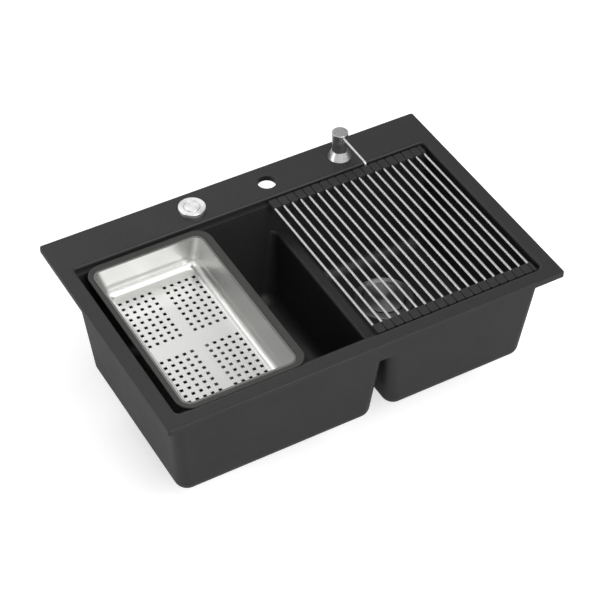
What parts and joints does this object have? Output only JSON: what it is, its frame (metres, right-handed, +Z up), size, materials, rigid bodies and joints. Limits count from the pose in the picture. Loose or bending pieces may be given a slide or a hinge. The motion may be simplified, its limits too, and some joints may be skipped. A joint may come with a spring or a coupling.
{
  "type": "workstation kitchen sink",
  "caption": "Drop-in twin-bowl kitchen sink with a stepped ledge carrying a sliding perforated basket and a roll-up drying mat, plus soap pump, waste control and strainer wastes.",
  "frame": {"origin": "centre of the rim's outline, on the worktop plane under the rim", "axes": "+Z up, +X to the right seen from the front, -Y towards the user"},
  "size_m": [0.78, 0.51, 0.3555],
  "materials": {
    "composite": "matt moulded granite composite",
    "frame": "matt moulded",
    "basket_steel": "satin pressed sheet",
    "bar_steel": "polished",
    "silicone": "matt moulded",
    "steel": "satin turned",
    "chrome_tube": "polished",
    "zinc": "plain plated",
    "seal": "matt",
    "nylon": "matt moulded",
    "bottle": "translucent blown",
    "pump_plastic": "matt moulded",
    "spring_steel": "plain wire",
    "waste_steel": "polished"
  },
  "bodies": {
    "sink": {"sink_body": "composite", "dispenser_collar": "steel", "dispenser_shank": "zinc", "dispenser_washer": "seal", "dispenser_nut": "nylon", "dispenser_bottle": "bottle", "pump_barrel": "pump_plastic", "dip_tube": "pump_plastic", "control_collar": "steel", "control_shank": "zinc", "control_washer": "seal", "control_nut": "nylon", "waste_left_flange": "waste_steel", "waste_left_gasket": "seal", "waste_left_body": "nylon", "waste_left_screw": "spring_steel", "waste_right_flange": "waste_steel", "waste_right_gasket": "seal", "waste_right_body": "nylon", "waste_right_screw": "spring_steel"},
    "control_button": {"control_button": "steel", "control_spring": "spring_steel"},
    "waste_left_plug": {"waste_left_plug": "waste_steel", "waste_left_lift_pin": "spring_steel"},
    "waste_left_cam": {"waste_left_cam": "pump_plastic"},
    "waste_right_plug": {"waste_right_plug": "waste_steel"},
    "pump": {"pump_piston": "pump_plastic", "pump_spring": "spring_steel"},
    "dispenser_head": {"dispenser_head": "steel", "dispenser_nozzle": "chrome_tube"},
    "colander_frame": {"colander_frame": "frame"},
    "colander_basket": {"colander_basket": "basket_steel"},
    "mat": {"mat_caps_fixed": "silicone", "mat_bar_08": "bar_steel", "mat_bar_09": "bar_steel", "mat_bar_10": "bar_steel", "mat_bar_11": "bar_steel", "mat_bar_12": "bar_steel", "mat_bar_13": "bar_steel", "mat_bar_14": "bar_steel", "mat_bar_15": "bar_steel", "mat_bar_16": "bar_steel", "mat_bar_17": "bar_steel", "mat_bar_18": "bar_steel", "mat_bar_19": "bar_steel"},
    "mat_segment_7": {"mat_caps_07": "silicone", "mat_bar_07": "bar_steel"},
    "mat_segment_6": {"mat_caps_06": "silicone", "mat_bar_06": "bar_steel"},
    "mat_segment_5": {"mat_caps_05": "silicone", "mat_bar_05": "bar_steel"},
    "mat_segment_4": {"mat_caps_04": "silicone", "mat_bar_04": "bar_steel"},
    "mat_segment_3": {"mat_caps_03": "silicone", "mat_bar_03": "bar_steel"},
    "mat_segment_2": {"mat_caps_02": "silicone", "mat_bar_02": "bar_steel"},
    "mat_segment_1": {"mat_caps_01": "silicone", "mat_bar_01": "bar_steel"}
  },
  "joints": [
    {"name": "control_press", "type": "slide", "parent": "sink", "child": "control_button", "axis": [0, 0, -1], "range_m": [0, 0.006], "stiffness_N_per_m": 300, "springref_m": -0.008, "deforming": ["control_spring"]},
    {"name": "waste_left_lift", "type": "slide", "parent": "sink", "child": "waste_left_plug", "axis": [0, 0, 1], "range_m": [0, 0.009]},
    {"name": "waste_left_cam_slide", "type": "slide", "parent": "sink", "child": "waste_left_cam", "axis": [0, -1, 0], "range_m": [0, 0.009]},
    {"name": "waste_right_lift", "type": "slide", "parent": "sink", "child": "waste_right_plug", "axis": [0, 0, 1], "range_m": [0, 0.1]},
    {"name": "pump_press", "type": "slide", "parent": "sink", "child": "pump", "axis": [0, 0, -1], "range_m": [0, 0.012], "stiffness_N_per_m": 300, "springref_m": -0.012, "deforming": ["pump_spring"]},
    {"name": "nozzle_swivel", "type": "hinge", "parent": "pump", "child": "dispenser_head", "pos_m": [0.203, 0.211, 0.06], "axis": [0, 0, 1], "continuous": true},
    {"name": "colander_slide", "type": "slide", "parent": "sink", "child": "colander_frame", "axis": [1, 0, 0], "range_m": [-0.012, 0.13]},
    {"name": "basket_lift", "type": "slide", "parent": "colander_frame", "child": "colander_basket", "axis": [0, 0, 1], "range_m": [0, 0.1]},
    {"name": "mat_lift", "type": "slide", "parent": "sink", "child": "mat", "axis": [0, 0, 1], "range_m": [0, 0.02]},
    {"name": "mat_fold_7", "type": "hinge", "parent": "mat", "child": "mat_segment_7", "pos_m": [0.14979, 0, 0.0085], "axis": [0, 1, 0], "range_deg": [0, 30]},
    {"name": "mat_fold_6", "type": "hinge", "parent": "mat_segment_7", "child": "mat_segment_6", "pos_m": [0.13202, 0, 0.0085], "axis": [0, 1, 0], "range_deg": [0, 30]},
    {"name": "mat_fold_5", "type": "hinge", "parent": "mat_segment_6", "child": "mat_segment_5", "pos_m": [0.11425, 0, 0.0085], "axis": [0, 1, 0], "range_deg": [0, 30]},
    {"name": "mat_fold_4", "type": "hinge", "parent": "mat_segment_5", "child": "mat_segment_4", "pos_m": [0.09648, 0, 0.0085], "axis": [0, 1, 0], "range_deg": [0, 30]},
    {"name": "mat_fold_3", "type": "hinge", "parent": "mat_segment_4", "child": "mat_segment_3", "pos_m": [0.07871, 0, 0.0085], "axis": [0, 1, 0], "range_deg": [0, 30]},
    {"name": "mat_fold_2", "type": "hinge", "parent": "mat_segment_3", "child": "mat_segment_2", "pos_m": [0.06094, 0, 0.0085], "axis": [0, 1, 0], "range_deg": [0, 30]},
    {"name": "mat_fold_1", "type": "hinge", "parent": "mat_segment_2", "child": "mat_segment_1", "pos_m": [0.04317, 0, 0.0085], "axis": [0, 1, 0], "range_deg": [0, 30]}
  ],
  "couplings": [
    {"joint": "waste_left_lift", "follows": "control_press", "ratio": 1.5},
    {"joint": "waste_left_cam_slide", "follows": "control_press", "ratio": 1.5},
    {"joint": "mat_fold_6", "follows": "mat_fold_7", "ratio": 1},
    {"joint": "mat_fold_5", "follows": "mat_fold_7", "ratio": 1},
    {"joint": "mat_fold_4", "follows": "mat_fold_7", "ratio": 1},
    {"joint": "mat_fold_3", "follows": "mat_fold_7", "ratio": 1},
    {"joint": "mat_fold_2", "follows": "mat_fold_7", "ratio": 1},
    {"joint": "mat_fold_1", "follows": "mat_fold_7", "ratio": 1}
  ]
}
